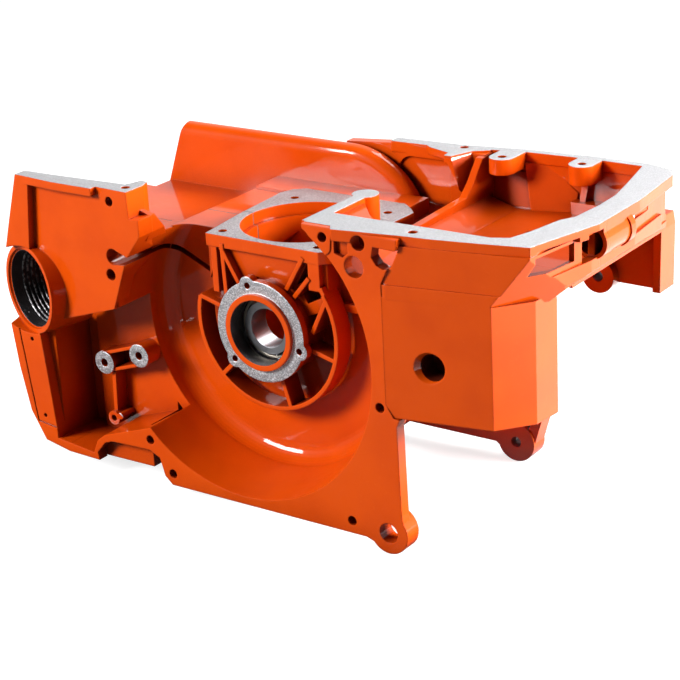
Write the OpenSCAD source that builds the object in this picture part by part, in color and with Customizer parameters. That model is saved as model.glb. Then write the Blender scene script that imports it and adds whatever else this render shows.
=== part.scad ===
// Chainsaw crankcase: two die cast halves split across the crank axis, with main bearings, dowels,
// screws, gasket and guide bar studs. X runs from the front (minus) to the rear, Y along the crank
// from the flywheel side (minus) to the clutch side, Z up. The origin is on the crank axis at the split.

/* [Machined planes] */
// height of the machined cover face above the crank axis
cover_z = 68; // [64:1:74]
// height of the cylinder deck above the crank axis
deck_z = 43.8; // [42:0.2:50]
// depth of the housing foot below the crank axis
base_z = 83; // [82:1:88]
// starter cover face, from the split
face_y = 63; // [58:1:68]
// hub flange face, from the split
hub_y = 42; // [40:1:46]

/* [Crank chamber and bearings] */
// crank web chamber radius
chamber_r = 36; // [34:0.5:37]
// half width of the crank chamber
chamber_half = 22; // [20:0.5:23]
// bearing bore radius
bearing_bore_r = 10; // [8:0.5:11]
// bearing outer radius
bearing_r = 21; // [20.5:0.5:22]
// bearing width
bearing_w = 12; // [10:1:13]
// ball radius
ball_r = 3.2; // [2.5:0.1:3.4]
// number of balls
ball_count = 9; // [7:1:10]
// bore radius through the hub collar
seal_r = 16.5; // [15:0.5:18]
// hub barrel radius
hub_r = 24.5; // [23.5:0.5:26]
// bolt circle radius of the hub flange
hub_bolt_r = 23.6; // [22.5:0.1:25]
// tapped hole radius for M4 screws
m4_hole_r = 1.7; // [1.4:0.1:2]
// tapped hole radius for M5 screws
m5_hole_r = 2.2; // [1.9:0.1:2.6]

/* [Fan housing] */
// fan opening radius at the cover face
fan_r = 78.8; // [76:0.2:80]
// fan housing radius at its floor
fan_floor_r = 74; // [72:0.5:76]
// distance of the fan housing floor from the split
fan_floor_y = 23; // [19.5:0.5:24]
// general wall of the casting
wall = 4; // [3:0.25:5]
// vane ring outer radius
ring_r = 42.3; // [41.5:0.1:44]
// vane ring rim, from the split
ring_y = 37; // [34:1:40]
// thin rib width
rib_w = 2.2; // [1.8:0.1:3]

/* [Cylinder seat] */
// radius of the cylinder opening
cyl_r = 32.5; // [31:0.5:33.5]
// half spacing of the cylinder screws along X
cyl_bolt_x = 28.4; // [27:0.1:29]
// half spacing of the cylinder screws along Y
cyl_bolt_y = 30; // [29:0.5:32]

/* [Oil tank and filler] */
// front end of the tank, from the crank axis
tank_x = 148; // [144:1:152]
// oil filler bore radius
filler_r = 20; // [18:0.5:21]
// oil filler boss radius
filler_boss_r = 23.5; // [22.5:0.5:25]
// turn of the filler toward the front, in degrees
filler_turn = 18; // [12:1:22]
// height of the oil filler centre
filler_z = 6.5; // [2:0.5:10]
// distance of the filler centre in front of the crank axis
filler_x = 133; // [130:1:135]

/* [Intake box] */
// rear end of the cover frame, from the crank axis
box_x = 165; // [160:1:170]
// slope of the box side, in degrees
box_turn = 10.4; // [8:0.2:12]
// level of the tray floor
tray_z = 41; // [38:1:43]
// underside of the box, below the crank axis
box_base_z = 19; // [15:1:24]
// thickness of the cover frame
frame_h = 5.5; // [4:0.5:8]

/* [Mounting lugs] */
// lug hole centre behind the crank axis
lug_x = 84.5; // [82:0.5:88]
// lug hole centre below the crank axis
lug_z = 78.2; // [76:0.2:80]
// lug outer radius
lug_r = 10.5; // [9.5:0.5:12]
// lug hole radius
lug_hole_r = 5; // [4:0.25:5.5]

/* [Guide bar] */
// radius of a bar stud
stud_r = 4; // [3.5:0.25:4.5]
// distance between the bar studs
stud_pitch = 32; // [28:1:36]
// free length of a bar stud
stud_free = 24; // [18:1:30]

/* [Fasteners] */
// clearance radius of the case screws
screw_r = 2.5; // [2.4:0.1:2.6]
// radius of a locating dowel
dowel_r = 3; // [2.5:0.25:3.5]
// half thickness of the case gasket
gasket_half = 0.25; // [0.2:0.05:0.4]

/* [Hidden] */
paint = [0.95, 0.35, 0.05];
steel = [0.7, 0.7, 0.72];
$fn = 64;
collar_y = hub_y + 2;
pitch_r = (bearing_bore_r + bearing_r) / 2;
race_wall = pitch_r - bearing_bore_r - ball_r * 0.62;
bearing_y0 = chamber_half + 2;
bearing_y1 = bearing_y0 + bearing_w;
box_slope = tan(box_turn);
fold_x = 86;
ledge_z = 45;
ear_x0 = 44.2;
frame_in_x = ear_x0 + 5.2;
bay_x = 58;
bay_z = 16;
flange_t = 6;
shelf_z = 41.7;
low_shelf_z = 32;
seat_h = 6.3;
boss_h = 14;
far = 400;
filler_depth = 40;
dowel_half = 6.5;
stud_sink = 11;
pocket_y = 35;
coil_y = 45;
bar_pad_y = 48;
guard_y = 58.5;
guard_z = 65;
back_y = 69;
lug_y0 = 55;
eye_z = 13;
side_hole = [108.5, 7.5];
frame_hole_x = ear_x0 + 53;
frame_hole_y = -face_y + 10.5;
seam_x = 42.5;
tab_r = 6.5;
hub_angles = [105, 225, 345];
vane_angles = [165, 225, 287, 346];
coil_spots = [[-100.6, -33.6], [-76.8, -25.6]];
cover_spots = [[-57.9, -61], [-44.6, -76.8], [64.1, -76.6], [82.7, -15.1], [-71.8, 61.6], [55.7, 62.8]];
strip_spots = [[-132.5, -20], [-128.8, -62]];
tab_spots = [[72.3, 67.3, 8, 80.5], [113.6, 72.8, 9.5, 83.5]];
front_tab = [46.6, 74];
screw_spots = [[-44.4, -16], [-20, -44], [20, -44], [44.4, -16], [-52, 24], [-80, -70.5], [-141, -12],
    [70, -4]];
screw_seat_y = 22;
screw_head_r = screw_r * 1.7;
screw_head_h = 5;
dowel_spots = [[-36, -34], [36, -34]];
stud_spots = [[-86, -6], [-86 - stud_pitch, -6]];

// a flat outline in X and Z, drawn between two distances along the crank axis
module slab(y0, y1) {
  translate([0, y1, 0])
    rotate([90, 0, 0])
      linear_extrude(y1 - y0) children();
}

// a flat outline in X and Y, drawn between two heights
module plan(z0, z1) {
  translate([0, 0, z0])
    linear_extrude(z1 - z0) children();
}

// a round bar or hole along the crank direction
module rod(x, z, y0, y1, r) {
  translate([x, y1, z])
    rotate([90, 0, 0])
      cylinder(r = r, h = y1 - y0);
}

// a round post or hole that stands upright
module post(x, y, z0, z1, r) {
  translate([x, y, z0]) cylinder(r = r, h = z1 - z0);
}

// a block between two values on each axis
module block(x0, x1, y0, y1, z0, z1) {
  translate([x0, y0, z0]) cube([x1 - x0, y1 - y0, z1 - z0]);
}

// a profile of radius and distance turned about the crank axis
module spun() {
  rotate([-90, 0, 0]) rotate_extrude($fn = 96) children();
}

// a thin rib seen from the side, from one point to another
module rib(a, b, w, y0, y1) {
  run = norm(b - a);
  turn = atan2(b.y - a.y, b.x - a.x);
  translate([a.x, y1, a.y])
    rotate([90, 0, 0])
      rotate([0, 0, turn])
        translate([0, -w / 2, 0]) cube([run, w, y1 - y0]);
}

// a stretch of arc as points
function arc(cx, cz, r, a0, a1, n) =
  [for (i = [0:n]) let (a = a0 + (a1 - a0) * i / n) [cx + r * cos(a), cz + r * sin(a)]];

// a point on a circle about the crank axis
function polar(r, a) = [r * cos(a), r * sin(a)];

// the side of the intake box, which runs inward toward the rear
function side_y(x, inset) = -face_y + inset + (x - fold_x) * box_slope;

// front edge of the tank from the cover face down to the foot, seen from the side
function front_edge() = [
  [-(tank_x - 16), cover_z],
  [-(tank_x - 7), cover_z - 30],
  [-(tank_x - 3), cover_z - 44],
  [-tank_x, 10],
  [-(tank_x - 1), -8],
  [-(tank_x - 4.5), -37],
  [-(tank_x - 9.5), -61],
  [-(tank_x - 18), 7 - base_z],
  [-(tank_x - 34), 3.7 - base_z]];

// the empty space swept by the fan
module fan_space() {
  spun() polygon(concat(
    [[0, -face_y - 20], [fan_r, -face_y - 20], [fan_r, -face_y]],
    arc(fan_floor_r - 9, -fan_floor_y - 9, 9, 0, 90, 8),
    [[0, -fan_floor_y]]));
}

// wall and floor of the fan housing
module fan_shell() {
  difference() {
    spun() polygon([
      [0, -fan_floor_y - 1],
      [fan_r - 2, -face_y],
      [fan_r + wall, -face_y],
      [fan_floor_r + wall + 1, -fan_floor_y + wall],
      [0, -fan_floor_y + wall]]);
    fan_space();
    block(-fan_r - 20, ear_x0 + 2, -face_y - 1, 1, shelf_z - 1, cover_z + fan_r);
    block(ear_x0, fan_r + 20, -face_y - 1, 1, cover_z - 2, cover_z + fan_r);
    block(-fan_r - 20, -60, -face_y - 1, -face_y + 3.5, 2, cover_z);
  }
}

// cover face of the fan housing, with its straight foot
module cover_face() {
  slab(-face_y, -face_y + flange_t) difference() {
    polygon([
      [-57.5, -54.4],
      [-88.5, -64.8],
      [-93.7, -68.7],
      [-96.5, -74.7],
      [-98.5, 3.3 - base_z],
      [-93.7, 3.1 - base_z],
      [-94.5, -75.6],
      [-89, -69.3],
      [-84, -67.4],
      [-58.8, -66.7],
      [-52.6, -69.8],
      [-50, 4 - base_z],
      [-45.5, -base_z],
      [lug_x - 12.5, -base_z],
      [lug_x - lug_r * 0.77, -lug_z - lug_r * 0.61],
      [lug_x, -lug_z - 2],
      [lug_x + lug_r * 0.92, -lug_z - 3],
      [lug_x + 7.7, -lug_z + lug_r],
      [lug_x + 7, -box_base_z - 4],
      [lug_x + 8.5, -box_base_z - 0.6],
      [fold_x + 4, -box_base_z],
      [fold_x, -box_base_z + 6],
      [fold_x, ledge_z],
      [fold_x + 9, cover_z - frame_h + 1],
      [fold_x + 9, cover_z - 1],
      [ear_x0, cover_z - 1],
      [ear_x0, cover_z - 12],
      [ear_x0 + 7, 57],
      [40, 40],
      [-40, -30]]);
    circle(fan_r, $fn = 96);
  }
}

// the ear beside the cylinder
module ear() {
  slab(-face_y - 0.6, -face_y + 12) polygon(concat(
    [[ear_x0 + 0.2, cover_z - 0.3], [ear_x0 + 16.5, cover_z - 0.3]],
    arc(ear_x0 + 11.5, cover_z - 9.5, 4.2, 0, -140, 6)));
}

// plan of the cover frame, once round its outer edge and back round its opening
function frame_plan() = [
  [ear_x0 - 2, -20],
  [ear_x0, -face_y + 2],
  [ear_x0 + 14.6, -face_y + 2],
  [ear_x0 + 17.5, -face_y - 2.3],
  [box_x - 70, -face_y + 3.5],
  [box_x - 55.5, -face_y + 5.2],
  [box_x - 33, -face_y + 9.6],
  [box_x - 11, -face_y + 14.5],
  [box_x, -6.3],
  [box_x, 32.6],
  [box_x - 4, 74.4],
  [box_x - 8, 81.7],
  [box_x - 22, 86.3],
  [box_x - 49, 86.5],
  [box_x - 86, 84],
  [ear_x0, 77.5],
  [6, 75.3],
  [6, back_y - 0.5],
  [frame_in_x - 7, back_y + 1.2],
  [60, 75.4],
  [box_x - 86, 79.4],
  [box_x - 50, 81.9],
  [box_x - 23.5, 81.5],
  [box_x - 18, 57],
  [box_x - 13.5, 34.8],
  [box_x - 13, 18],
  [box_x - 14.5, -2.3],
  [box_x - 18.5, -9],
  [box_x - 22, -face_y + 34],
  [box_x - 25.5, -face_y + 22.4],
  [box_x - 33.5, -face_y + 19],
  [frame_in_x, -face_y + 18.3],
  [frame_in_x, -20]];

// plan of the tray walls below the frame, drawn in by a distance
function tray_plan(inset) = [
  [fold_x + 2, side_y(fold_x + 2, inset)],
  [box_x - 10.5, side_y(box_x - 10.5, inset)],
  [box_x - 4 - inset, -8],
  [box_x - 3.5 - inset, 33],
  [box_x - 7 - inset, 74],
  [box_x - 11 - inset, 80.5 - inset * 0.6],
  [box_x - 23, 86.2 - inset],
  [box_x - 50, 86.4 - inset],
  [box_x - 86, 84 - inset],
  [bay_x - inset * 2, 79.7 - inset],
  [bay_x - inset * 2, side_y(fold_x, inset)]];

// plan of the deep part of the box under the tray
function deep_plan(inset) = [
  [fold_x - 8 + inset, -face_y + inset + 0.1],
  [fold_x + inset * 0.1, -face_y + inset + 0.1],
  [box_x - 28 - inset * 0.4, side_y(box_x - 28, inset)],
  [box_x - 15 - inset * 0.9, -face_y + 25.5 + inset * 0.5],
  [box_x - 13.5 - inset, -21 - inset],
  [fold_x - 8 + inset, -21 - inset]];

// everything of the rear box that is cast with the halves
module intake_box() {
  difference() {
    union() {
      difference() {
        plan(cover_z - frame_h, cover_z) polygon(frame_plan());
        block(box_x - 10, box_x + 5, -48, -18.5, 60, cover_z - 3.2);
        block(box_x - 10, box_x + 5, -13, -2.5, 60, cover_z - 3.2);
      }
      difference() {
        union() {
          difference() {
            union() {
              plan(tray_z - wall, cover_z - frame_h + 1) polygon(tray_plan(0.6));
              plan(tray_z - wall * 0.7, ledge_z) polygon(tray_plan(0));
              intersection() {
                plan(ledge_z - 1, ledge_z + 6) polygon(tray_plan(-0.8));
                block(box_x - 12, box_x + 5, -40, 66, ledge_z - 2, ledge_z + 7);
              }
            }
            plan(tray_z, cover_z) polygon(tray_plan(wall));
          }
          intersection() {
            plan(tray_z - 1, cover_z - frame_h + 0.8) polygon(tray_plan(1));
            flared_corner(3.5);
          }
        }
        rear_windows();
        flared_corner(0);
        slab(-60, 90) polygon([[box_x - 3, ledge_z + 0.8], [box_x - 13, tray_z - wall],
          [box_x - 13, 30], [box_x + 9, 30], [box_x + 9, ledge_z + 0.8]]);
      }
      difference() {
        plan(-box_base_z, tray_z - wall * 0.4) polygon(deep_plan(0));
        plan(-box_base_z - 1, tray_z) polygon(deep_plan(wall));
      }
      tray_step();
      difference() {
        union() {
          rod(box_x - 6.5, 57.5, -2.6, 22, 8.2);
          rod(box_x - 6.5, 57.5, 20, 24.5, 9);
        }
        rod(box_x - 6.5, 57.5, -3, 16, 6.2);
      }
      post(box_x - 3.3, 29.5, 56.5, cover_z - 2, 1.9);
      for (t = tab_spots) frame_tab(t);
      front_wedge();
      post(frame_hole_x, frame_hole_y, cover_z - boss_h, cover_z - 1, 4.6);
    }
    post(105, 40, 35, 70, 4.2);
  }
}

// upright holes that take the screws of the top cover
module cover_holes() {
  for (t = tab_spots) post(t.x, t.y, cover_z - boss_h, cover_z + 1, m5_hole_r);
  post(front_tab.x, front_tab.y, cover_z - boss_h, cover_z + 1, m5_hole_r);
  post(frame_hole_x, frame_hole_y, cover_z - boss_h - 1, cover_z + 1, m5_hole_r);
}

// screw tab that stands inside the frame, given as its hole, its depth and the wall that it meets
module frame_tab(t) {
  post(t.x, t.y, cover_z - t.z, cover_z - 0.02, tab_r);
  block(t.x - tab_r, t.x + tab_r, t.y, t[3], cover_z - t.z, cover_z - 0.02);
}

// pointed tab at the front of the tray, with the wedge that carries it
module front_wedge() {
  plan(cover_z - 4, cover_z - 0.02) polygon([[27, 69.5], [30.7, 66.8], [44.3, 62.1], [45, 57], [48.9, 57.2],
    [53.6, 69.2], [61, 74.2], [61, 77.6], [40, 76.6]]);
  post(front_tab.x, front_tab.y, cover_z - boss_h, cover_z - 1, 3.4);
  intersection() {
    slab(57, 76.4) polygon([[45.5, cover_z - 1], [54, 50], [61, 50], [61, cover_z - 1]]);
    translate([48.9, 57.2, cover_z])
      rotate([0, -14.1, -21.4])
        translate([-60, -60, -60]) cube([60, 120, 80]);
  }
}

// leaning panels inside the far wall of the tray, a rib, and the ramp at the front of its floor
module tray_step() {
  translate([bay_x + 1, 0, 0])
    rotate([90, 0, 90])
      linear_extrude(86 - bay_x)
        polygon([[73.5, tray_z - 1], [73.5, tray_z + 0.6], [78.6, 58], [79, 58], [79, tray_z - 1]]);
  intersection() {
    slab(66, 82.5) polygon([[79, 62.8], [90, 62.8], [107, 50], [107, tray_z - 1], [86, tray_z - 1]]);
    translate([82, 81, cover_z])
      rotate([-21, 0, 16.7])
        translate([-60, 0, -60]) cube([120, 40, 90]);
  }
  slab(78, 83) polygon([[108.5, tray_z - 1], [111, tray_z - 1], [115, 59], [111, 59]]);
  slab(-18, 75) polygon([[box_x - 15.5, tray_z - 0.5], [box_x - 7.5, 48.5], [box_x - 7.5, tray_z - 0.5]]);
  slab(-face_y + 3, 71) polygon([[bay_x + 1, tray_z - 1], [bay_x + 22, tray_z - 1],
    [bay_x + 20, tray_z + 0.3], [bay_x + 1, 46.5]]);
}

// the region outside the slanted plane at the lower corner of the tray, moved in by a thickness
module flared_corner(thick) {
  translate([box_x - 24.5, -face_y + 9.8, ledge_z])
    rotate([0, 28.5, -34.4])
      translate([-thick, -40, -30]) cube([40, 80, 52]);
}

// windows and recesses through the rear wall of the tray
module rear_windows() {
  block(box_x - 22, box_x + 5, -46, -18.5, ledge_z + 8.5, cover_z - frame_h - 0.4);
  block(box_x - 22, box_x + 5, -13, -2.5, ledge_z + 6, cover_z - frame_h - 0.4);
  block(box_x - 6, box_x + 5, 27, 52, ledge_z + 12, cover_z - frame_h - 0.4);
}

// arm from the ear to the post beside the cylinder deck, with its corner web
module cover_arm() {
  block(ear_x0 - 1.8, frame_in_x - 0.2, -face_y + 3, -14, cover_z - 13, cover_z - 0.02);
  post(ear_x0 + 1.5, -13.5, bay_z, cover_z - 0.02, 6.5);
  plan(cover_z - 12, cover_z - 2.5)
    polygon([[frame_in_x - 1.5, -face_y + 12], [frame_in_x + 24, -face_y + 12],
      [frame_in_x + 22.6, -face_y + 17.5], [frame_in_x + 0.6, -20.5], [frame_in_x - 1.5, -20]]);
}

// wall between the cylinder bay and the tray, with the floor of the bay
module partition() {
  translate([bay_x, 0, 0])
    rotate([90, 0, 90])
      linear_extrude(wall)
        polygon([[-face_y + 3, bay_z - 4], [77, bay_z - 4], [77, cover_z - 1], [66, cover_z - 2],
          [57, 56], [50, 50], [-20, 47.5], [-face_y + 3, 47]]);
  plan(bay_z - 4, bay_z) polygon([[30, -40], [64, -face_y + 2], [84, -face_y + 2], [84, -18],
    [bay_x + wall - 0.3, -14], [bay_x + wall - 0.3, 74], [30, 74]]);
  slab(-6, 6) polygon([[30, -box_base_z], [fold_x + 1, -box_base_z], [fold_x + 1, bay_z - 1],
    [30, bay_z - 1]]);
  block(fold_x - 2.5, fold_x + 1.2, -24, 6, -box_base_z + 0.3, tray_z - 2);
}

// deck that carries the cylinder, with the case body below it
module cylinder_seat() {
  block(-35.5, 35.5, -33, 40, 4, deck_z - 1);
  plan(deck_z - seat_h, deck_z) polygon(concat(
    [[-34, -36.5], [33, -36.5], [38.5, -31]],
    arc(-2, 0, 55, 40, 131, 14),
    [[-40.5, 34], [-38, -3]]));
  block(-60, 33, 39, guard_y + 2, shelf_z - 6, shelf_z + 1.8);
}

// round case around the crank, with the webs that join it to the tank
module crank_case() {
  rod(0, 0, -chamber_half - 5, chamber_half + 5, chamber_r + 5);
  slab(-6, 6) polygon([[-64, -60], [-40, -50], [0, -51], [46, -30], [46, 10], [30, 34], [-40, 37],
    [-64, 34]]);
  for (s = concat(screw_spots, dowel_spots))
    if (s.x > -70) rod(s.x, s.y, -fan_floor_y + 2, screw_seat_y, 6.5);
  block(-61, -37, -31, guard_y + 2, shelf_z - 5, shelf_z);
  block(-61, -57, -30, guard_y + 1, 22, shelf_z - 1);
}

// the oil tank as a closed body with its hollow
module tank() {
  difference() {
    union() {
      slab(-face_y + 6, bar_pad_y - 3) polygon(concat(
        [for (p = front_edge()) if (p.y < low_shelf_z) p],
        [[-62, 4 - base_z], [-62, low_shelf_z], [-(tank_x - 5), low_shelf_z]]));
      shield_wall();
      front_strip();
    }
    ignition_pocket();
    tank_hollow();
  }
}

// the room for oil, which reaches behind the filler
module tank_hollow() {
  difference() {
    slab(-28, bar_pad_y - 7) polygon([
      [-(tank_x - 8.5), 26], [-66, 27], [-66, 8 - base_z], [-(tank_x - 21), 10 - base_z],
      [-(tank_x - 14), -58], [-(tank_x - 6), -8]]);
    for (s = screw_spots) if (s.x < -70) rod(s.x, s.y, -60, 60, 6.5);
  }
  slab(-face_y + 14, -27) polygon([
    [-(tank_x - 9), 24], [-90, 24], [-90, 10], [-(tank_x - 30), -6], [-(tank_x - 7), -9]]);
}

// upright wall at the front that carries the cover
module shield_wall() {
  intersection() {
    plan(-14, cover_z) polygon([
      [-(tank_x + 2), -face_y + 5.5],
      [-60, -face_y + 0.5],
      [-53.7, -face_y + 0.5],
      [-53.7, -face_y + 11],
      [-59, -face_y + 11],
      [-62, -44],
      [-66, -43],
      [-69, -face_y + 11],
      [-115, -face_y + 8],
      [-(tank_x + 2), -face_y + 7]]);
    slab(-face_y, -30) polygon(concat(
      front_edge(),
      [[-122, -70], [-121.5, -10], [-75, 5.5], [-64, 33], [-54, 46], [-53.7, 55], [-59.5, 54.5],
      [-60, cover_z]]));
  }
  intersection() {
    plan(cover_z - 4.2, cover_z - 0.02)
      polygon([[-(tank_x - 14), -face_y + 7], [-(tank_x - 14), -face_y + 0.6], [-106, -face_y - 2],
        [-80.4, -face_y - 2], [-80.4, -face_y + 4]]);
    slab(-80, -40) polygon([[-(tank_x - 16.2), cover_z + 2], [-(tank_x - 14), 60], [-60, 60],
      [-60, cover_z + 2]]);
  }
}

// proud strip along the front edge
module front_strip() {
  slab(-face_y, -face_y + 7) polygon(concat(front_edge(), [
    [-97, 3.2 - base_z],
    [-96, 7 - base_z],
    [-117, 9 - base_z],
    [-121.6, -66],
    [-124, -40],
    [-127, -10],
    [-127.5, 30],
    [-124, cover_z - 4],
    [-124, cover_z - 0.5]]));
}

// the open pocket that takes the ignition coil
module ignition_pocket() {
  slab(-face_y - 1, -pocket_y) polygon([
    [-113, 8.5 - base_z], [-96, 6.5 - base_z], [-93.7, -68.7], [-88.5, -64.8], [-57.5, -54.4],
    [-40, -40], [-56, 8], [-75, 5.5], [-113, -7]]);
  slab(-face_y - 1, -pocket_y + 4) polygon([
    [-121.5, 9.5 - base_z], [-112.5, 8.5 - base_z], [-112.5, -7], [-121.5, -10]]);
}

// two coil bosses joined by ribs, with a foot rib below
module ignition_bosses() {
  for (s = coil_spots) rod(s.x, s.y, -coil_y, -pocket_y + 1, 6.2);
  for (d = [-1, 1])
    rib(coil_spots[0] + [0, d * 5], coil_spots[1] + [0, d * 5], 1.8, -coil_y + 1, -pocket_y + 1);
  rib(coil_spots[0] + [4, -5], [coil_spots[0].x + 3, -62], 2.4, -coil_y + 2, -pocket_y + 1);
  rod(coil_spots[0].x + 3, -64, -coil_y, -pocket_y + 1, 3.8);
  rod(coil_spots[0].x + 7.4, -62.2, -coil_y, -pocket_y + 1, 1.8);
}

// places the children in the turned frame of the oil filler, with its mouth at zero
module at_filler() {
  translate([-filler_x, -face_y + 2, filler_z]) rotate([0, 0, -filler_turn]) children();
}

// hub with its collar and three ears
module hub() {
  rod(0, 0, -hub_y + 1, -chamber_half, hub_r);
  slab(-hub_y, -hub_y + 4) {
    circle(hub_r + 1.3);
    for (a = hub_angles) translate(polar(hub_bolt_r, a)) circle(4.6);
  }
  rod(0, 0, -collar_y, -hub_y + 2, seal_r + 3);
}

// thin ring of the housing vanes with the ribs that reach the hub
module vanes() {
  floor_y = -chamber_half - 4;
  difference() {
    rod(0, 0, -ring_y, floor_y, ring_r);
    rod(0, 0, -ring_y - 1, floor_y + 1, ring_r - rib_w);
    slab(-ring_y - 1, floor_y + 1)
      polygon([[0, 0], polar(90, 33), polar(120, 90), polar(90, 165)]);
  }
  for (a = vane_angles)
    rib(polar(hub_r - 2, a), polar(ring_r - 1, a), rib_w, -ring_y + 0.02, floor_y);
  rib(polar(27.5, 5), polar(ring_r - 1, 29), rib_w, -ring_y + 0.02, floor_y);
  rib(polar(26, 59), [24, deck_z - 4], rib_w, -ring_y, -30);
  rib(polar(26, 47), [27, 30], rib_w, -ring_y, -30);
  rib([-23.3, 12], [-24.4, deck_z - 4], rib_w, -ring_y, -30);
  rib([-14.3, 19.3], [-25, deck_z - 6], rib_w, -ring_y, -30);
  rib([-30, 14], [-30, deck_z - 4], rib_w * 1.6, -ring_y + 1, -30);
  block(26.5, 33, -36.3, -30, 24, deck_z - 1);
  rib([33, 26], polar(ring_r - 1, 30), rib_w, -ring_y + 0.5, floor_y);
}

// pockets between the ribs above the hub
module hub_pockets() {
  slab(-40, -chamber_half - 3.5) {
    polygon([[-38, 11], [-26, 9], [-25, 26], [-33, 28]]);
    polygon([[-22, 29], [-22, 15], [-16, 19]]);
    polygon([polar(28, 34), polar(38, 32), polar(38, 44), polar(29, 46)]);
    polygon([[17, 24], [26, 29], [26, 37], [23.5, 35]]);
  }
}

// open ring between the hub and the vanes
module ring_groove() {
  slab(-50, -chamber_half - 4.5) difference() {
    circle(ring_r - rib_w - 0.1);
    polygon([[0, 0], polar(90, 22), polar(120, 90), polar(90, 168)]);
  }
}

// spaces that both halves share: chamber, cylinder opening, bearing seats and screw holes
module crank_voids() {
  rod(0, 0, -chamber_half, chamber_half, chamber_r);
  post(0, 0, deck_z - seat_h, deck_z + 1, cyl_r);
  post(0, 0, 2, deck_z, cyl_r - 2.5);
  for (s = [0, 1]) mirror([0, s, 0]) {
    rod(0, 0, -bearing_y1, -chamber_half + 1, bearing_r + 0.02);
    rod(0, 0, -collar_y - 1, -bearing_y1 + 1, seal_r);
  }
  for (x = [-1, 1], y = [-1, 1])
    post(x * cyl_bolt_x, y * cyl_bolt_y, deck_z - 16, deck_z + 1, m5_hole_r);
  for (s = screw_spots) rod(s.x, s.y, -15, 30, screw_r + 0.05);
  for (s = dowel_spots) rod(s.x, s.y, -7, 7, dowel_r + 0.02);
}

// the flywheel side before the split
module flywheel_casting() {
  difference() {
    union() {
      difference() {
        union() {
          difference() {
            union() {
              tank();
              crank_case();
            }
            fan_space();
          }
          difference() {
            fan_shell();
            ignition_pocket();
          }
          difference() {
            union() {
              intake_box();
              partition();
              cover_arm();
              ear();
            }
            rod(0, 0, -face_y - 2, -fan_floor_y - 3, fan_r);
          }
          cover_face();
          cylinder_seat();
        }
        ring_groove();
        hub_pockets();
      }
      hub();
      vanes();
      ignition_bosses();
      wire_pad();
      wall_gusset();
      at_filler() rod(0, 0, 0, 26, filler_boss_r);
      rod(lug_x, -lug_z, -face_y, -face_y + 9.5, lug_r);
      for (i = [0:3]) rod(cover_spots[i].x, cover_spots[i].y, -face_y + 1, -face_y + boss_h, 5);
      rod(side_hole.x, side_hole.y, -face_y + 7.4, -face_y + 18, 8.6);
    }
    crank_voids();
    cover_holes();
    at_filler() rod(0, 0, -12, 0, filler_boss_r);
    at_filler() rod(0, 0, -12, filler_depth, filler_r);
    at_filler() rod(0, 0, -1, 1.2, filler_r + 1.2);
    rod(lug_x, -lug_z, -face_y - 1, -face_y + 12, lug_hole_r);
    for (a = hub_angles)
      rod(hub_bolt_r * cos(a), hub_bolt_r * sin(a), -hub_y - 1, -hub_y + 10, m4_hole_r);
    for (s = coil_spots) rod(s.x, s.y, -coil_y - 1, -pocket_y - 1, m5_hole_r);
    rod(coil_spots[0].x + 3, -64, -coil_y - 1, -coil_y + 8, m4_hole_r);
    for (s = cover_spots) rod(s.x, s.y, -face_y - 3, -face_y + boss_h + 1, m5_hole_r + 0.2);
    for (s = strip_spots) rod(s.x, s.y, -face_y - 1, -face_y + 5, 1.1);
    post(-65.5, -face_y + 7, cover_z - 12, cover_z + 1, m5_hole_r);
    box_side_hole();
    panel_openings();
    wire_slot();
    strip_groove();
  }
}

// bevelled blind hole in the box side
module box_side_hole() {
  rod(side_hole.x, side_hole.y, -face_y - 5, -face_y + 16, 6.4);
  translate([side_hole.x, side_y(side_hole.x, 0) + 1.8, side_hole.y])
    rotate([90, 0, 0]) cylinder(r1 = 6.2, r2 = 8.9, h = 4);
}

// openings of the panel beside the fan housing
module panel_openings() {
  rod(72, 51, -face_y - 1, -face_y + 8, 5.2);
  rod(74.7, 62.6, -face_y - 3, -face_y + 7, 3.6);
  slab(-face_y - 3, -face_y + 2.5) polygon([[61.6, 56], [66, 54.5], [69, 57], [69, 62.4], [61.6, 62.4]]);
  slab(-face_y - 3, -face_y + 9) polygon([[81.5, 57], [84, 53.5], [87.5, 52], [90.8, 53], [94.5, 61.6],
    [82.5, 61.9]]);
}

// front wall beside the fan, which isn't cut back by its space, and the straight wall behind
module wire_pad() {
  difference() {
    shield_wall();
    ignition_pocket();
  }
  slab(-face_y + 3, -fan_floor_y - 2) difference() {
    polygon([[-81, 3.7], [-75, 5.7], [-60, 7.7], [-60, low_shelf_z - 0.2], [-81, low_shelf_z - 0.2]]);
    circle(fan_floor_r, $fn = 96);
  }
}

// gusset that stiffens the upright end of the front wall
module wall_gusset() {
  intersection() {
    translate([-60.2, 0, 0])
      rotate([90, 0, 90])
        linear_extrude(10) polygon([[-54, 59.5], [-52.2, 57.8], [-39, shelf_z - 0.3], [-54, shelf_z - 0.3]]);
    slab(-60, -30) polygon([[-61, shelf_z - 1], [-57.4, shelf_z - 1], [-54.2, 46], [-54, 54.8], [-60.1, 57],
      [-61, 60]]);
  }
}

// keyhole and groove that guide the ignition wire
module wire_slot() {
  rod(-72.6, 33.2, -face_y - 1, -face_y + 24, 4.2);
  rod(-75, 23.6, -face_y - 1, -face_y + 12, 3);
  slab(-face_y - 1, -face_y + 24) polygon([[-73.5, 29.2], [-68, 29.6], [-60, 31], [-60, 33.6], [-70, 36.6]]);
  rib(polar(fan_floor_r - 2, 156), polar(fan_floor_r + 2.6, 156), 2.8, -face_y + 2, -fan_floor_y + 1.5);
  rib(polar(fan_floor_r + 1, 156), [-38, 17], 2.8, -fan_floor_y - 3, -fan_floor_y + 3);
}

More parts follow.
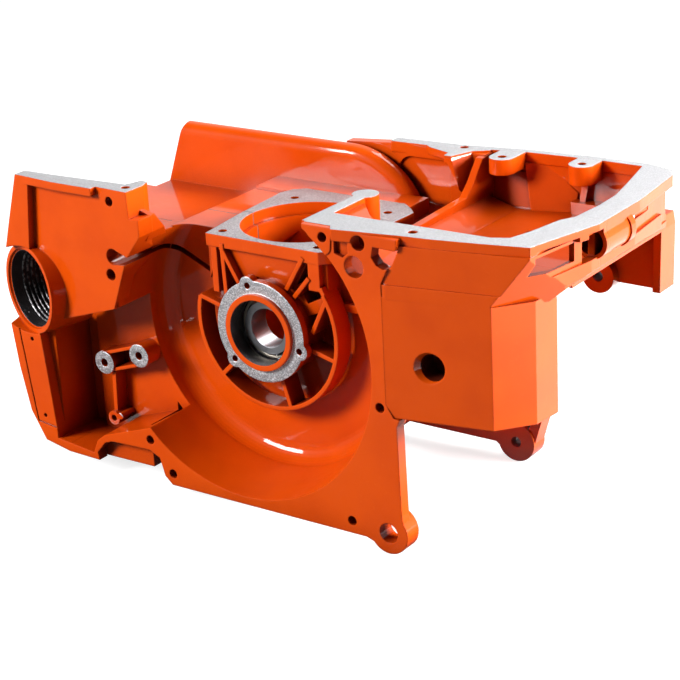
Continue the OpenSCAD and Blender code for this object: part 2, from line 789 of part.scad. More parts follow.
// groove along the lower front strip
module strip_groove() {
  rib([-(tank_x - 7.2), -15.5], [-(tank_x - 11), -45], 0.8, -face_y - 1, -face_y + 0.8);
  rib([-(tank_x - 11), -45], [-(tank_x - 14), -66], 0.8, -face_y - 1, -face_y + 0.8);
  rib([-(tank_x - 14), -66], [-121.9, -67.5], 0.8, -face_y - 1, -face_y + 0.8);
}

// the clutch side before the split
module clutch_casting() {
  difference() {
    union() {
      tank();
      crank_case();
      cylinder_seat();
      intake_box();
      partition();
      clutch_wall();
      guard_wall();
      rear_plate();
      mirror([0, 1, 0]) rod(0, 0, -hub_y, -chamber_half, hub_r);
      slab(bar_pad_y - 4, bar_pad_y)
        polygon([[-136, -30], [-72, -30], [-66, -10], [-70, 20], [-136, 20]]);
    }
    crank_voids();
    cover_holes();
    rod(lug_x, -lug_z, lug_y0 - 1, lug_y0 + 14, lug_hole_r - 2.2);
    rod(lug_x + 39, eye_z, 60, 90, 2.8);
    for (s = stud_spots) rod(s.x, s.y, bar_pad_y - 12, bar_pad_y + 1, stud_r + 0.03);
    for (s = screw_spots) {
      rod(s.x, s.y, -1, 60, screw_r + 0.3);
      rod(s.x, s.y, screw_seat_y, 62, screw_head_r + 0.3);
    }
    rod(-102, 4, bar_pad_y - 12, bar_pad_y + 1, 1.5);
  }
}

// web, bottom rail and lug arm on the clutch side
module clutch_wall() {
  slab(18, screw_seat_y) polygon([[-64, -58], [-46, 3 - base_z], [22, 3 - base_z], [34, -66], [46, -60],
    [fold_x, -54], [fold_x, bay_z - 2], [40, 38], [-62, 38]]);
  slab(18, lug_y0 + 8) polygon([[-64, -62], [-46, 3 - base_z], [20, 3 - base_z], [20, 7.5 - base_z],
    [-43, 7.5 - base_z], [-60, -58]]);
  slab(lug_y0, lug_y0 + 7.5) polygon([[10, 3 - base_z], [lug_x - 12, 2.8 - base_z],
    [lug_x - 6, -lug_z - 6], [lug_x + 4, -lug_z + 4], [lug_x, -lug_z + 14], [10, 13 - base_z]]);
  rod(lug_x, -lug_z, lug_y0, lug_y0 + 11, lug_r);
  slab(lug_y0 + 2, lug_y0 + 7) polygon([[12, 5 - base_z], [lug_x, 8 - base_z], [lug_x + 12, -62],
    [lug_x + 13, -45], [lug_x + 6, -28], [fold_x - 1, bay_z - 1], [54, bay_z - 1], [54, -46],
    [34, -65], [12, -68]]);
  slab(lug_y0 + 1, lug_y0 + 10.5) polygon([[lug_x + 5, -lug_z + 4], [lug_x + 10, -lug_z - 1],
    [lug_x + 15, -62.5], [lug_x + 16, -52], [lug_x + 13, -52], [lug_x + 12, -60]]);
  block(54.2, 59, 20, lug_y0 + 5, -52, bay_z - 2);
}

// guard wall behind the cylinder, whose rounded top falls in an arc at its rear end
module guard_wall() {
  run_x = -15;
  arc_z = 20;
  intersection() {
    translate([-(tank_x - 8), 0, 0])
      rotate([90, 0, 90])
        linear_extrude(tank_x - 8 + run_x + 0.5) polygon(guard_profile(0));
    slab(guard_y - 5, guard_y + 20) polygon([[-(tank_x - 11), 26], [-(tank_x - 23.5), guard_z - 4],
      [-(tank_x - 25.5), guard_z + 1], [run_x + 1, guard_z + 1], [run_x + 1, 26]]);
  }
  intersection() {
    translate([run_x, 0, arc_z]) spun() polygon([for (p = guard_profile(-arc_z)) [p.y, p.x]]);
    block(run_x, 60, guard_y - 5, guard_y + 20, arc_z + 15, 80);
  }
  block(-(tank_x - 14), -60.5, 30, guard_y + 9, low_shelf_z - 5, low_shelf_z);
}

// section of the guard wall as distance and height
function guard_profile(dz) = concat(
  [[guard_y, 26 + dz], [guard_y + 9.5, 26 + dz]],
  arc(guard_y + 6.5, guard_z - 3 + dz, 3, 0, 90, 5),
  arc(guard_y + 6, guard_z - 6 + dz, 6, 90, 180, 8));

// wall behind the tray and the plate with its eye at the rear
module rear_plate() {
  difference() {
    slab(back_y, back_y + 6) polygon([[-22, 50], [-4, 28], [frame_in_x + 6, bay_z - 3],
      [frame_in_x + 12, cover_z - 1], [8, cover_z - 1], [-22, guard_z - 0.4]]);
    slab(back_y - 1, back_y + 1.6) polygon(concat(
      arc(18, cover_z - 15, 8, 90, 180, 8),
      [[14, 40], [frame_in_x - 9, 36], [frame_in_x - 8, cover_z - 7]]));
  }
  slab(75, 85) polygon([[110, 10], [box_x - 8, 9.5], [box_x - 7.5, tray_z], [box_x - 8.5, ledge_z + 2],
    [106, ledge_z + 2]]);
  slab(70, 85) polygon([[box_x - 12, 9.5], [box_x - 8, 9.5], [box_x - 7.5, tray_z], [box_x - 11.5, tray_z]]);
  rod(lug_x + 39, eye_z, 70, 85, 8.7);
}

module flywheel_half() {
  intersection() {
    flywheel_casting();
    union() {
      block(-far, seam_x, -far, -gasket_half, -far, far);
      block(seam_x - 0.5, far, -far, 0, -far, far);
    }
  }
}

module clutch_half() {
  intersection() {
    clutch_casting();
    union() {
      block(-far, seam_x, gasket_half, far, -far, far);
      block(seam_x - 0.5, far, 0, far, -far, far);
    }
  }
}

module case_gasket() {
  intersection() {
    difference() {
      union() {
        tank();
        crank_case();
        cylinder_seat();
      }
      crank_voids();
    }
    block(-far, seam_x - 0.6, -gasket_half, gasket_half, -far, far);
  }
}

// one open ball bearing, placed on the flywheel side
module outer_race() {
  spun() difference() {
    translate([bearing_r - race_wall - 0.4, -bearing_y1]) square([race_wall + 0.4, bearing_w]);
    translate([pitch_r, -(bearing_y0 + bearing_y1) / 2]) circle(ball_r + 0.06);
  }
}

module inner_race() {
  spun() difference() {
    translate([bearing_bore_r, -bearing_y1]) square([race_wall, bearing_w]);
    translate([pitch_r, -(bearing_y0 + bearing_y1) / 2]) circle(ball_r + 0.06);
  }
}

module balls() {
  for (i = [0:ball_count - 1])
    rotate([0, i * 360 / ball_count, 0])
      translate([pitch_r, -(bearing_y0 + bearing_y1) / 2, 0]) sphere(ball_r, $fn = 32);
}

module cage() {
  difference() {
    spun() translate([pitch_r - 0.6, -(bearing_y0 + bearing_y1) / 2 - ball_r - 0.8])
      square([1.2, 2 * ball_r + 1.6]);
    for (i = [0:ball_count - 1])
      rotate([0, i * 360 / ball_count, 0])
        translate([pitch_r - 2, -(bearing_y0 + bearing_y1) / 2, 0])
          rotate([0, 90, 0]) cylinder(r = ball_r + 0.08, h = 4);
  }
}

module locating_dowels() {
  for (s = dowel_spots) rod(s.x, s.y, -dowel_half, dowel_half, dowel_r);
}

module case_screws() {
  for (s = screw_spots) {
    rod(s.x, s.y, -14, screw_seat_y + 1, screw_r);
    difference() {
      rod(s.x, s.y, screw_seat_y, screw_seat_y + screw_head_h, screw_head_r);
      rod(s.x, s.y, screw_seat_y + 2.5, screw_seat_y + screw_head_h + 1, screw_r * 0.75);
    }
  }
}

module bar_studs() {
  for (s = stud_spots) {
    rod(s.x, s.y, bar_pad_y - stud_sink, bar_pad_y + stud_free, stud_r);
    rod(s.x, s.y, bar_pad_y, bar_pad_y + 2, stud_r + 2.2);
  }
}

module at_clutch_side() {
  mirror([0, 1, 0]) children();
}

color(paint) flywheel_half();
color(paint) clutch_half();
color([0.3, 0.3, 0.28]) case_gasket();
color(steel) outer_race();  // flywheel_bearing_outer_race
color(steel) inner_race();  // flywheel_bearing_inner_race
color(steel) balls();  // flywheel_bearing_balls
color(steel) cage();  // flywheel_bearing_cage
color(steel) at_clutch_side() outer_race();  // clutch_bearing_outer_race
color(steel) at_clutch_side() inner_race();  // clutch_bearing_inner_race
color(steel) at_clutch_side() balls();  // clutch_bearing_balls
color(steel) at_clutch_side() cage();  // clutch_bearing_cage
color(steel) locating_dowels();
color(steel) case_screws();
color(steel) bar_studs();
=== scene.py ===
import math
import bpy
import numpy as np
from mathutils import Matrix, Vector


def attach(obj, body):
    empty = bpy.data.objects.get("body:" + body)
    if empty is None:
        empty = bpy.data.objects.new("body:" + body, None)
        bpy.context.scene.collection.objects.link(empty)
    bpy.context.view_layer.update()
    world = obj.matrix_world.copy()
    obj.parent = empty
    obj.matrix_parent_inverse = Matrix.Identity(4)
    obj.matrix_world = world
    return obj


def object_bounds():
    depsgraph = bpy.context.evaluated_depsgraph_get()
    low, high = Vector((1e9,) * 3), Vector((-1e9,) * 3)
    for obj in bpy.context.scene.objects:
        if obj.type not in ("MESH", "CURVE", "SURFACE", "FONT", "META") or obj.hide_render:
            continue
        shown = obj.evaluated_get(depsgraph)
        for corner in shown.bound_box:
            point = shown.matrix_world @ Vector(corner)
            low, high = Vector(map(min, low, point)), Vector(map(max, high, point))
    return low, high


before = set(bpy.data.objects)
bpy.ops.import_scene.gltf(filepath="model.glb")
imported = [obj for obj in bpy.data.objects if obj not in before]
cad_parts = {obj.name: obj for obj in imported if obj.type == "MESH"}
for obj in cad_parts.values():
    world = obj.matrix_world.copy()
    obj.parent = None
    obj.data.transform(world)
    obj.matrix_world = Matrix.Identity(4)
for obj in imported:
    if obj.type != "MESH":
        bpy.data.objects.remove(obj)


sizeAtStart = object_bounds()
print("frame loaded", len(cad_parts), "nodes")


# A Sig is one output socket of a node, and arithmetic on it adds Math nodes.
class Sig:
    def __init__(self, net, socket):
        self.net = net
        self.socket = socket

    def calc(self, op, *others):
        ins = dict(enumerate((self,) + others))
        return self.net.node("ShaderNodeMath", ins=ins, operation=op)

    def __add__(self, other):
        return self.calc("ADD", other)

    def __radd__(self, other):
        return self.calc("ADD", other)

    def __sub__(self, other):
        return self.calc("SUBTRACT", other)

    def __rsub__(self, other):
        return (self * -1.0) + other

    def __mul__(self, other):
        return self.calc("MULTIPLY", other)

    def __rmul__(self, other):
        return self.calc("MULTIPLY", other)

    def absolute(self):
        return self.calc("ABSOLUTE")

    def most(self, other):
        return self.calc("MAXIMUM", other)

    def over(self, limit):
        return self.calc("GREATER_THAN", limit)

    def under(self, limit):
        return self.calc("LESS_THAN", limit)

    def near(self, value, within):
        return self.calc("COMPARE", value, within)

    def ramp(self, low, high):
        return self.net.node("ShaderNodeMapRange", ins={0: self, 1: low, 2: high},
                             interpolation_type="SMOOTHSTEP")


softSamples = 6                 # rays that round an edge or look for a hollow


# The nodes of one material or of the world, up to its output node.
class Net:
    def __init__(self, owner, endKind="ShaderNodeOutputMaterial"):
        owner.use_nodes = True
        self.owner = owner
        self.tree = owner.node_tree
        self.tree.nodes.clear()
        self.end = self.tree.nodes.new(endKind)

    def plug(self, socket, value):
        if isinstance(value, Sig):
            self.tree.links.new(value.socket, socket)
        elif value is not None:
            socket.default_value = value

    def node(self, kind, out=0, ins=None, **settings):
        made = self.tree.nodes.new(kind)
        for key, value in settings.items():
            setattr(made, key, value)
        for key, value in (ins or {}).items():
            self.plug(made.inputs[key], value)
        return Sig(self, made.outputs[out])

    def split(self, vector):
        parts = self.node("ShaderNodeSeparateXYZ", ins={0: vector}).socket.node.outputs
        return [Sig(self, part) for part in parts]

    def place(self):
        return self.node("ShaderNodeTexCoord", out="Object")

    def facing(self):
        return self.node("ShaderNodeNewGeometry", out="True Normal")

    def noise(self, scale, detail, where=None):
        ins = {"Vector": where or self.place(), "Scale": scale, "Detail": detail}
        return self.node("ShaderNodeTexNoise", ins=ins)

    def mix(self, factor, a, b):
        return self.node("ShaderNodeMix", out=2, data_type="RGBA", ins={0: factor, 6: a, 7: b})

    def blend(self, factor, a, b):
        return self.node("ShaderNodeMix", out=0, data_type="FLOAT", ins={0: factor, 2: a, 3: b})

    def shaders(self, factor, a, b):
        return self.node("ShaderNodeMixShader", ins={0: factor, 1: a, 2: b})

    def bump(self, height, distance, strength, normal=None):
        ins = {"Height": height, "Distance": distance, "Strength": strength, "Normal": normal}
        return self.node("ShaderNodeBump", ins=ins)

    def rounded(self, radius):
        return self.node("ShaderNodeBevel", ins={"Radius": radius}, samples=softSamples)

    # 1 on open faces and down to 0 deep in a corner or a hole.
    def openness(self, reach):
        return self.node("ShaderNodeAmbientOcclusion", out="AO", ins={"Distance": reach},
                         samples=softSamples)

    # Distance from a line: the length of the cross product of the line's way and the gap to its point.
    def far(self, point, axis):
        gap = self.node("ShaderNodeVectorMath", ins={0: self.place(), 1: point}, operation="SUBTRACT")
        cross = self.node("ShaderNodeVectorMath", ins={0: gap, 1: axis}, operation="CROSS_PRODUCT")
        return self.node("ShaderNodeVectorMath", out="Value", ins={0: cross}, operation="LENGTH")

    def finish(self, **sockets):
        ins = {name.replace("_", " "): value for name, value in sockets.items()}
        return self.close(self.node("ShaderNodeBsdfPrincipled", ins=ins))

    def close(self, shader):
        self.plug(self.end.inputs[0], shader)
        return self.owner


def newNet(name):
    return Net(bpy.data.materials.new(name))


def rgb(r, g, b):
    return (r, g, b, 1.0)


# The paint of both halves: gloss orange over die cast metal, with the machined faces left bare, and
# painted shade in the hollows, the side hole, the bores and on bare faces that look up.
casting = {
    "paint": rgb(0.66, 0.070, 0.0008),
    "paintThin": rgb(0.72, 0.11, 0.01),
    "paintDeep": rgb(0.50, 0.040, 0.0008),
    # painted shade: the dark red that hollows and corners are painted
    "paintedHollowShade": rgb(0.16, 0.009, 0.0005),
    "deepShare": 0.35,
    "thinShare": 0.18,
    "toneRamp": (0.35, 0.7),    # from where to where the noise turns the paint deep
    "thinRamp": (0.62, 0.8),
    "hollowShadeRamp": (0.12, 0.8),
    "sparkleRamp": (0.3, 0.9),
    "hollowShadeReach": 0.032,
    "metal": rgb(0.40, 0.40, 0.42),
    "metalPale": rgb(0.80, 0.80, 0.82),
    # painted shade for bare metal in the bores and on faces that look up
    "metalShade": rgb(0.075, 0.07, 0.072),
    "coverPale": 0.4,           # share of pale metal that the cover plane has at least
    "upShade": 0.42,             # share of painted shade, as dark metal, in bare faces that look up
    "metallic": 0.85,
    # painted shade for the inside of the side hole
    "holeShade": rgb(0.05, 0.008, 0.004),
    "holeShadeShare": 0.85,
    "square": 0.95,             # a face whose normal is over this is square to the axis
    "planeGap": 0.00012,
    "coverZ": 0.068,
    "deckZ": 0.0438,
    "deckHalf": 0.046,
    "hubY": -0.042,
    "hubR": 0.032,
    "hubBoreR": 0.0166,
    "starterY": -0.03,          # the starter side of the part lies below this
    "frontX": -0.06,            # the front of the part lies below this
    "coilY": -0.045,
    "coilSlope": 0.9,
    "coilEdge": -0.145,
    "padFrom": 0.047,
    "padTo": 0.0485,
    "sideHole": (0.1085, 0.0, 0.0075),
    "sideHoleR": 0.0065,
    "slug": (0.1617, 0.0295, 0.0),
    "slugR": 0.0024,
    "slugFoot": 0.0564,
    "fillerMouth": (-0.133, -0.061, 0.0065),
    "fillerTurn": 18.0,
    "fillerR": 0.0203,
    "fillerX": -0.1,
    "toneScale": 38.0,
    "fineScale": 420.0,
    "grainScale": 2600.0,
    "sparkleScale": 2300.0,
    "peelScale": 900.0,
    "waveScale": 70.0,
    "peelDepth": 0.00004,
    "waveDepth": 0.0006,
    "grainDepth": 0.00012,
    "paintBump": 0.35,
    "metalBump": 0.9,
    "sparkleBump": 0.7,
    "edge": 0.0011,
    "paintRough": (0.36, 0.12),  # least roughness, and what the noise adds
    "metalRough": (0.3, 0.25),
    "coat": 0.5,
    "coatRough": 0.05,
    "specular": 0.05,
}
crank = (0.0, 0.0, 0.0)
alongY = (0.0, 1.0, 0.0)
alongZ = (0.0, 0.0, 1.0)


def fillerAxis():
    turn = math.radians(casting["fillerTurn"])
    return (math.sin(-turn), -math.cos(turn), 0.0)


# The faces that a cutter has left bare, pale ones, and the bores that get painted shade as dark metal, as
# masks of 0 or 1.
def bareFaces(net, x, y, z, up, ny):
    c = casting
    starter = ny.under(-c["square"])
    cover = z.near(c["coverZ"], c["planeGap"]) * up
    insideDeck = x.absolute().under(c["deckHalf"]) * y.absolute().under(c["deckHalf"])
    deck = z.near(c["deckZ"], c["planeGap"]) * up * insideDeck
    crankR = net.far(crank, alongY)
    hubFace = y.near(c["hubY"], c["planeGap"]) * starter * crankR.under(c["hubR"])
    coilPart = x.under(c["frontX"]) * (z + x * c["coilSlope"]).over(c["coilEdge"])
    coilFace = y.near(c["coilY"], c["planeGap"]) * starter * coilPart
    pad = y.over(c["padFrom"]) * y.under(c["padTo"]) * ny.over(c["square"]) * x.under(c["frontX"])
    slug = net.far(c["slug"], alongZ).under(c["slugR"]) * z.over(c["slugFoot"])
    hubBore = crankR.under(c["hubBoreR"]) * y.under(c["starterY"])
    fillerR = net.far(c["fillerMouth"], fillerAxis())
    fillerWall = fillerR.under(c["fillerR"]) * x.under(c["fillerX"]) * y.under(c["starterY"])
    pale = cover.most(deck).most(hubFace).most(coilFace).most(pad).most(slug)
    return cover, pale, hubBore.most(fillerWall)


def castPaint():
    c = casting
    net = newNet("cast_paint")
    x, y, z = net.split(net.place())
    ny, nz = net.split(net.facing())[1:]
    up = nz.over(c["square"])
    cover, pale, shadedBores = bareFaces(net, x, y, z, up, ny)
    bare = pale.most(shadedBores)

    fine = net.noise(c["fineScale"], 2.0)
    grain = net.noise(c["grainScale"], 1.0)
    cells = net.node("ShaderNodeTexVoronoi", out="Color",
                     ins={"Vector": net.place(), "Scale": c["sparkleScale"]})
    sparkle = net.split(cells)[0]
    tone = net.mix(net.noise(c["toneScale"], 3.0).ramp(*c["toneRamp"]), c["paint"], c["paintDeep"])
    tone = net.mix(c["deepShare"], c["paint"], tone)
    tone = net.mix(fine.ramp(*c["thinRamp"]) * c["thinShare"], tone, c["paintThin"])
    # Painted shade: the paint turns dark red where the occlusion finds a corner, recess or hole.
    tone = net.mix(net.openness(c["hollowShadeReach"]).ramp(*c["hollowShadeRamp"]), c["paintedHollowShade"], tone)
    # Painted shade: the bore of the side hole is painted near black.
    sideHole = net.far(c["sideHole"], alongY).under(c["sideHoleR"]) * y.under(c["starterY"])
    tone = net.mix(sideHole * c["holeShadeShare"], tone, c["holeShade"])
    palePart = sparkle.ramp(*c["sparkleRamp"]) * (1.0 - cover * c["coverPale"]) + cover * c["coverPale"]
    metalTone = net.mix(palePart, c["metal"], c["metalPale"])
    # Painted shade: the hub bore and the filler bore turn dark metal, and bare faces that look up get a
    # share of it.
    metalTone = net.mix(shadedBores.most(up * c["upShade"]), metalTone, c["metalShade"])

    corners = net.rounded(c["edge"])
    wave = net.bump(net.noise(c["waveScale"], 2.0), c["waveDepth"], c["paintBump"], corners)
    paintBump = net.bump(net.noise(c["peelScale"], 2.0), c["peelDepth"], c["paintBump"], wave)
    metalBump = net.bump(grain + sparkle * c["sparkleBump"], c["grainDepth"], c["metalBump"], corners)
    normal = net.node("ShaderNodeMix", out=1, data_type="VECTOR",
                      ins={0: bare, 4: paintBump, 5: metalBump})
    paintRough = c["paintRough"][0] + fine * c["paintRough"][1]
    metalRough = c["metalRough"][0] + sparkle * c["metalRough"][1]
    return net.finish(Base_Color=net.mix(bare, tone, metalTone), Metallic=bare * c["metallic"],
                      Roughness=net.blend(bare, paintRough, metalRough),
                      Coat_Weight=(1.0 - bare) * c["coat"], Coat_Roughness=c["coatRough"],
                      Specular_IOR_Level=c["specular"], Normal=normal)


# The steels and the gasket.
steel = {
    "race": rgb(0.36, 0.36, 0.38),
    "raceDark": rgb(0.16, 0.16, 0.17),
    "cage": rgb(0.48, 0.44, 0.36),
    "zinc": rgb(0.50, 0.50, 0.52),
    "stud": rgb(0.33, 0.33, 0.35),
    "spot": rgb(0.27, 0.26, 0.25),
    "raceRough": (0.26, 0.2),   # least roughness, and what the lines add
    "ballRough": (0.08, 0.05),
    "cageRough": (0.3, 0.2),
    "zincRough": (0.25, 0.15),  # least roughness, and what the spots add
    "studRough": (0.3, 0.15),
    "ringScale": 60.0,
    "lineScale": 40.0,
    "lineDepth": 0.00001,
    "lineBump": 0.4,
    "dirtScale": 150.0,
    "dirtRamp": (0.5, 0.75),
    "dirtShare": 0.5,
    "ringEdge": 0.0004,
    "spotScale": 300.0,
    "spotRamp": (0.4, 0.7),
    "spotDepth": 0.00004,
    "spotBump": 0.3,
    "plainMetallic": 0.95,
    "plainEdge": 0.0005,
}
gasket = {
    "fibre": rgb(0.085, 0.08, 0.07),
    "fleck": rgb(0.16, 0.15, 0.13),
    "scale": 1500.0,
    "ramp": (0.45, 0.65),
    "rough": 0.85,
    "depth": 0.00005,
    "bump": 0.4,
}


# Ground steel has fine lines round the crank axis: noise of the radius and of the place along the axis.
def groundSteel(name, color, rough):
    s = steel
    net = newNet(name)
    y = net.split(net.place())[1]
    ring = net.node("ShaderNodeCombineXYZ", ins={0: net.far(crank, alongY) * s["ringScale"],
                                                 1: y * s["ringScale"], 2: 0.0})
    lines = net.noise(s["lineScale"], 2.0, where=ring)
    dirt = net.noise(s["dirtScale"], 3.0).ramp(*s["dirtRamp"]) * s["dirtShare"]
    return net.finish(Base_Color=net.mix(dirt, color, s["raceDark"]), Metallic=1.0,
                      Roughness=rough[0] + lines * rough[1],
                      Normal=net.bump(lines, s["lineDepth"], s["lineBump"], net.rounded(s["ringEdge"])))


def plainSteel(name, color, rough):
    s = steel
    net = newNet(name)
    spots = net.noise(s["spotScale"], 3.0)
    return net.finish(Base_Color=net.mix(spots.ramp(*s["spotRamp"]), color, s["spot"]),
                      Metallic=s["plainMetallic"], Roughness=rough[0] + spots * rough[1],
                      Normal=net.bump(spots, s["spotDepth"], s["spotBump"], net.rounded(s["plainEdge"])))


def fibreSheet():
    g = gasket
    net = newNet("gasket_fibre")
    fleck = net.noise(g["scale"], 3.0)
    return net.finish(Base_Color=net.mix(fleck.ramp(*g["ramp"]), g["fibre"], g["fleck"]),
                      Roughness=g["rough"], Normal=net.bump(fleck, g["depth"], g["bump"]))


raceNames = [side + "_bearing_" + ring for side in ("flywheel", "clutch")
             for ring in ("outer_race", "inner_race")]

# Each material with the nodes that have it.
finishes = (
    (castPaint(), ("flywheel_half", "clutch_half")),
    (fibreSheet(), ("case_gasket",)),
    (groundSteel("race_steel", steel["race"], steel["raceRough"]), raceNames),
    (groundSteel("ball_steel", steel["race"], steel["ballRough"]),
     ("flywheel_bearing_balls", "clutch_bearing_balls")),
    (groundSteel("cage_steel", steel["cage"], steel["cageRough"]),
     ("flywheel_bearing_cage", "clutch_bearing_cage")),
    (plainSteel("dowel_steel", steel["zinc"], steel["zincRough"]), ("locating_dowels", "case_screws")),
    (plainSteel("stud_steel", steel["stud"], steel["studRough"]), ("bar_studs",)),
)
for material, names in finishes:
    for name in names:
        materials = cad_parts[name].data.materials
        materials.clear()
        materials.append(material)
print("materials set", len(finishes))


# A tube of rings of points: each ring is joined to the next, and both ends are capped.
def surface(name, rings, material):
    count, around = rings.shape[:2]
    index = np.arange(count * around).reshape(count, around)
    here, ahead = index[:-1], index[1:]
    quads = np.stack([here, np.roll(here, -1, axis=1), np.roll(ahead, -1, axis=1), ahead], axis=-1)
    faces = quads.reshape(-1, 4).tolist() + [index[0][::-1].tolist(), index[-1].tolist()]
    mesh = bpy.data.meshes.new(name)
    mesh.from_pydata(rings.reshape(-1, 3).tolist(), [], faces)
    mesh.update()
    mesh.materials.append(material)
    made = bpy.data.objects.new(name, mesh)
    bpy.context.collection.objects.link(made)
    return made


# The thread of the oil filler: a ridge that climbs by the pitch in each turn round the filler's axis.
thread = {
    "turns": 5.2,
    "pitch": 0.0025,
    "start": 0.0068,
    "wall": 0.0203,
    "sunk": 0.0004,
    "crest": 0.0194,
    "foot": 0.0019,
    "top": 0.0006,
    "steps": 72,
    "fadeSteps": 14,
    "fadeLeast": 0.03,
    "fadePower": 0.7,
    "pale": rgb(0.5, 0.49, 0.5),
    "spotScale": 500.0,
    "spotRamp": (0.4, 0.7),
    "spotDepth": 0.00005,
    "spotBump": 0.4,
    "metallic": 0.9,
    "rough": (0.3, 0.15),
}


def threadMetal():
    t = thread
    net = newNet("thread_metal")
    spots = net.noise(t["spotScale"], 2.0)
    # The thread's base is the painted shade dark metal of the filler bore, with random pale spots.
    return net.finish(Base_Color=net.mix(spots.ramp(*t["spotRamp"]), casting["metalShade"], t["pale"]),
                      Metallic=t["metallic"], Roughness=t["rough"][0] + spots * t["rough"][1],
                      Normal=net.bump(spots, t["spotDepth"], t["spotBump"]))


# Point = mouth + ray(angle) * radius - outward * depth, where the depth grows with the angle
# and the four radii and depths of a ring are the ridge's outline.
def fillerThread():
    t = thread
    turn = math.radians(casting["fillerTurn"])
    mouth = np.array(casting["fillerMouth"])
    outward = np.array(fillerAxis())
    side = np.array([math.cos(turn), -math.sin(turn), 0.0])
    count = int(t["turns"] * t["steps"])
    step = np.arange(count + 1)
    turned = step / t["steps"]
    fade = np.clip(np.minimum(step, count - step) / t["fadeSteps"], t["fadeLeast"], 1.0) ** t["fadePower"]
    crest = t["wall"] - (t["wall"] - t["crest"]) * fade
    foot = np.full_like(crest, t["wall"] + t["sunk"])
    radius = np.stack([foot, crest, crest, foot], axis=1)
    outline = np.array([t["foot"], t["top"], -t["top"], -t["foot"]]) / 2
    depth = (t["start"] + t["pitch"] * turned)[:, None] + outline
    angle = 2 * np.pi * turned
    ray = np.outer(np.cos(angle), side) + np.outer(np.sin(angle), alongZ)
    rings = mouth + ray[:, None, :] * radius[..., None] - outward * depth[..., None]
    return surface("filler_thread", rings, threadMetal())


pieces = [fillerThread()]
for piece in pieces:
    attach(piece, "case")
print("pieces made", len(pieces))


# The stage: a pale floor at the lowest point, three soft lamps and a white world.
stage = {
    "floor": rgb(0.93, 0.92, 0.92),
    "floorHalf": 6.0,
    "floorUnseen": rgb(0.16, 0.16, 0.16),
    "floorGlow": 1.3,
    "floorShare": 0.4,
    "floorShine": 3.6,
    "shineWay": (0.6, 0.8),     # the floor shines toward this way in the plan
    "shineSpan": (0.02, 0.25),
    "white": rgb(1.0, 1.0, 1.0),
    "world": rgb(0.95, 0.97, 1.0),
    "worldLevel": 0.035,
    "backShine": 1.1,
    "backSpan": (0.1, 0.5),
    "lights": (
        ("key", (-0.85, -1.30, 0.75), (0.0, 0.0, 0.0), 0.5, 43.0),
        ("right", (1.30, 0.42, 0.30), (0.05, 0.0, 0.0), 0.5, 62.0),
        ("top", (0.10, 0.80, 1.15), (0.0, 0.0, 0.0), 0.7, 18.0),
    ),
}


# The camera sees a floor that partly glows, gloss shows it lit behind the part, and other rays meet
# a darker one that throws back less light.
def floorWhite():
    s = stage
    net = newNet("floor_white")
    x, y = net.split(net.place())[:2]
    seen = net.node("ShaderNodeLightPath", out="Is Camera Ray")
    glossy = net.node("ShaderNodeLightPath", out="Is Glossy Ray")
    behind = glossy * (x * s["shineWay"][0] + y * s["shineWay"][1]).ramp(*s["shineSpan"])
    glow = net.node("ShaderNodeEmission", ins={0: s["white"], 1: s["floorGlow"]})
    matt = net.node("ShaderNodeBsdfDiffuse", ins={0: net.mix(seen, s["floorUnseen"], s["floor"])})
    shine = net.node("ShaderNodeEmission", ins={0: s["white"], 1: s["floorShine"]})
    return net.close(net.shaders(behind, net.shaders(seen * (1.0 - s["floorShare"]), matt, glow), shine))


def addFloor():
    low = min(corner[2] for corner in sizeAtStart)
    half = stage["floorHalf"]
    mesh = bpy.data.meshes.new("floor")
    mesh.from_pydata([(-half, -half, low), (half, -half, low), (half, half, low), (-half, half, low)], [],
                     [(0, 1, 2, 3)])
    floor = bpy.data.objects.new("floor", mesh)
    bpy.context.collection.objects.link(floor)
    mesh.materials.append(floorWhite())


def addLamp(name, spot, target, size, power):
    data = bpy.data.lights.new(name, "AREA")
    data.shape = "SQUARE"
    data.size = size
    data.energy = power
    lamp = bpy.data.objects.new(name, data)
    bpy.context.collection.objects.link(lamp)
    aim = (Vector(target) - Vector(spot)).to_track_quat("-Z", "Y").to_matrix().to_4x4()
    lamp.matrix_world = Matrix.Translation(spot) @ aim


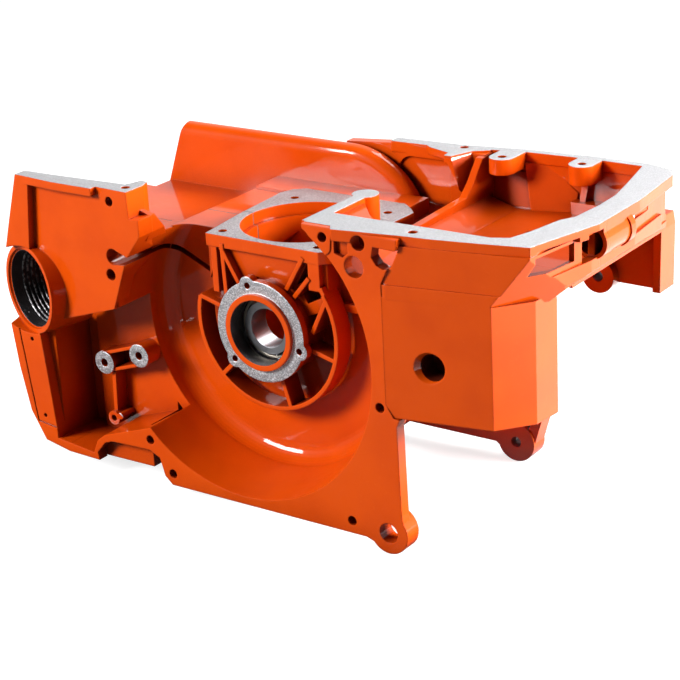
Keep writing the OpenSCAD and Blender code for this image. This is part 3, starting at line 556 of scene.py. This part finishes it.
# The camera sees a white world, gloss sees it lit behind the part, and other rays meet a dim one.
def addWorld():
    s = stage
    world = bpy.data.worlds.new("studio")
    bpy.context.scene.world = world
    net = Net(world, "ShaderNodeOutputWorld")
    white = net.node("ShaderNodeBackground", ins={0: s["white"], 1: 1.0})
    dim = net.node("ShaderNodeBackground", ins={0: s["world"], 1: s["worldLevel"]})
    bright = net.node("ShaderNodeBackground", ins={0: s["white"], 1: s["backShine"]})
    seen = net.node("ShaderNodeLightPath", out="Is Camera Ray")
    glossy = net.node("ShaderNodeLightPath", out="Is Glossy Ray")
    way = net.split(net.node("ShaderNodeTexCoord", out="Generated"))[1]
    back = net.node("ShaderNodeMapRange", ins={0: way, 1: s["backSpan"][0], 2: s["backSpan"][1]})
    net.close(net.shaders(back * glossy, net.shaders(seen, dim, white), bright))


addFloor()
for lamp in stage["lights"]:
    addLamp(*lamp)
addWorld()

# The camera that the photograph was taken with: az is its turn about Z, el its height and roll its tilt,
# in degrees, and spot its place in metres.
view = {
    "az": 35.8,
    "el": 21.1,
    "roll": -3.0,
    "spot": (0.5589, -0.7515, 0.342),
    "lens": 105.9,
    "sensor": 36.0,
    "clip": (0.05, 50.0),
}


def addCamera():
    az, el, roll = (math.radians(view[k]) for k in ("az", "el", "roll"))
    back = Vector((math.sin(az) * math.cos(el), -math.cos(az) * math.cos(el), math.sin(el)))
    level = Vector((math.cos(az), math.sin(az), 0.0))
    steep = back.cross(level)
    right = level * math.cos(roll) + steep * math.sin(roll)
    upward = steep * math.cos(roll) - level * math.sin(roll)
    data = bpy.data.cameras.new("camera")
    data.lens = view["lens"]
    data.sensor_width = view["sensor"]
    data.clip_start, data.clip_end = view["clip"]
    made = bpy.data.objects.new("camera", data)
    bpy.context.collection.objects.link(made)
    turned = Matrix((right, upward, back)).transposed().to_4x4()
    made.matrix_world = Matrix.Translation(view["spot"]) @ turned
    scene = bpy.context.scene
    scene.camera = made
    scene.view_settings.view_transform = "Standard"


addCamera()
print("stage set")
